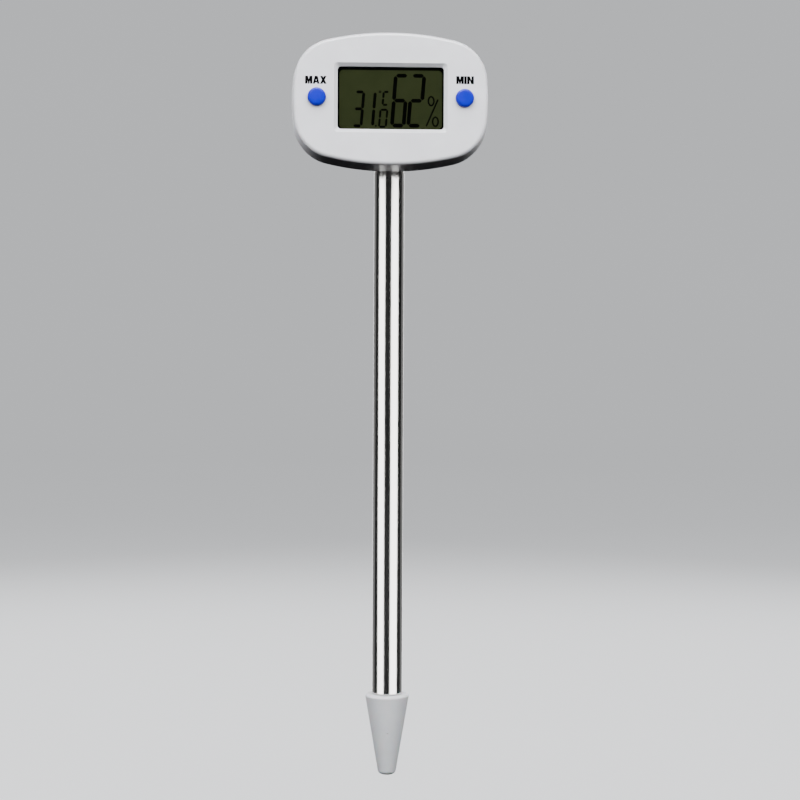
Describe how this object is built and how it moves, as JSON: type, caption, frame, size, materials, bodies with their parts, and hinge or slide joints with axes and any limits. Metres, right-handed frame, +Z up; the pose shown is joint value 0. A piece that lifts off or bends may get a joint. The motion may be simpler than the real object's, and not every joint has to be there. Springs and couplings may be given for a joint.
{
  "type": "soil moisture meter",
  "caption": "Hand-held soil moisture meter: a rounded display head with two push buttons on a slim steel probe tube with a cone-shaped pull-off cap over the sensing end.",
  "frame": {"origin": "centre of the cap's blunt end, on the probe tube's axis", "axes": "+Z up the probe tube towards the head, display faces -Y, +X to the right as the display is read"},
  "size_m": [0.0644, 0.0238, 0.2436],
  "materials": {
    "case_plastic": "fine satin",
    "clear_plastic": "polished",
    "dark_plastic": "matt",
    "polariser_film": "satin film",
    "display_glass": "polished",
    "reflector_film": "pearl film",
    "conductive_rubber": "matt",
    "board": "solder mask",
    "chip_resin": "semi-gloss resin",
    "chip_ceramic": "matt",
    "button_plastic": "semi-gloss",
    "steel": "polished stainless steel",
    "screw_steel": "zinc plated",
    "cell_steel": "nickel plated",
    "contact_brass": "plated spring brass",
    "carrier_plastic": "matt",
    "wire_sleeve": "satin",
    "cap_plastic": "fine satin"
  },
  "bodies": {
    "meter": {"front_cover": "case_plastic", "rear_cover": "case_plastic", "display_window": "clear_plastic", "display_frame": "dark_plastic", "lcd_polariser": "polariser_film", "lcd_glass": "display_glass", "lcd_reflector": "reflector_film", "zebra_strips": "conductive_rubber", "circuit_board": "board", "controller_blob": "chip_resin", "board_parts": "chip_ceramic", "max_switch_body": "dark_plastic", "min_switch_body": "dark_plastic", "battery_cell": "cell_steel", "battery_contact_negative": "contact_brass", "battery_contact_positive": "contact_brass", "case_screws": "screw_steel", "board_screws": "screw_steel", "clamp_screws": "screw_steel", "tube_clamp": "dark_plastic", "probe_tube": "steel", "sensor_carrier": "carrier_plastic", "humidity_sensor": "chip_resin", "thermistor": "chip_ceramic", "sensor_wires": "wire_sleeve"},
    "max_key": {"max_button": "button_plastic", "max_switch_plunger": "dark_plastic"},
    "min_key": {"min_button": "button_plastic", "min_switch_plunger": "dark_plastic"},
    "battery_door": {"battery_cover": "case_plastic"},
    "cap": {"tip_cap": "cap_plastic"}
  },
  "joints": [
    {"name": "max_button_press", "type": "slide", "parent": "meter", "child": "max_key", "axis": [0, 1, 0], "range_m": [0, 0.0005], "stiffness_N_per_m": 3000, "springref_m": -0.0003},
    {"name": "min_button_press", "type": "slide", "parent": "meter", "child": "min_key", "axis": [0, 1, 0], "range_m": [0, 0.0005], "stiffness_N_per_m": 3000, "springref_m": -0.0003},
    {"name": "battery_cover_turn", "type": "hinge", "parent": "meter", "child": "battery_door", "pos_m": [0, 0.006, 0.223], "axis": [0, 1, 0], "range_deg": [0, 45]},
    {"name": "tip_cap_pull", "type": "slide", "parent": "meter", "child": "cap", "axis": [0, 0, -1], "range_m": [0, 0.035]}
  ]
}
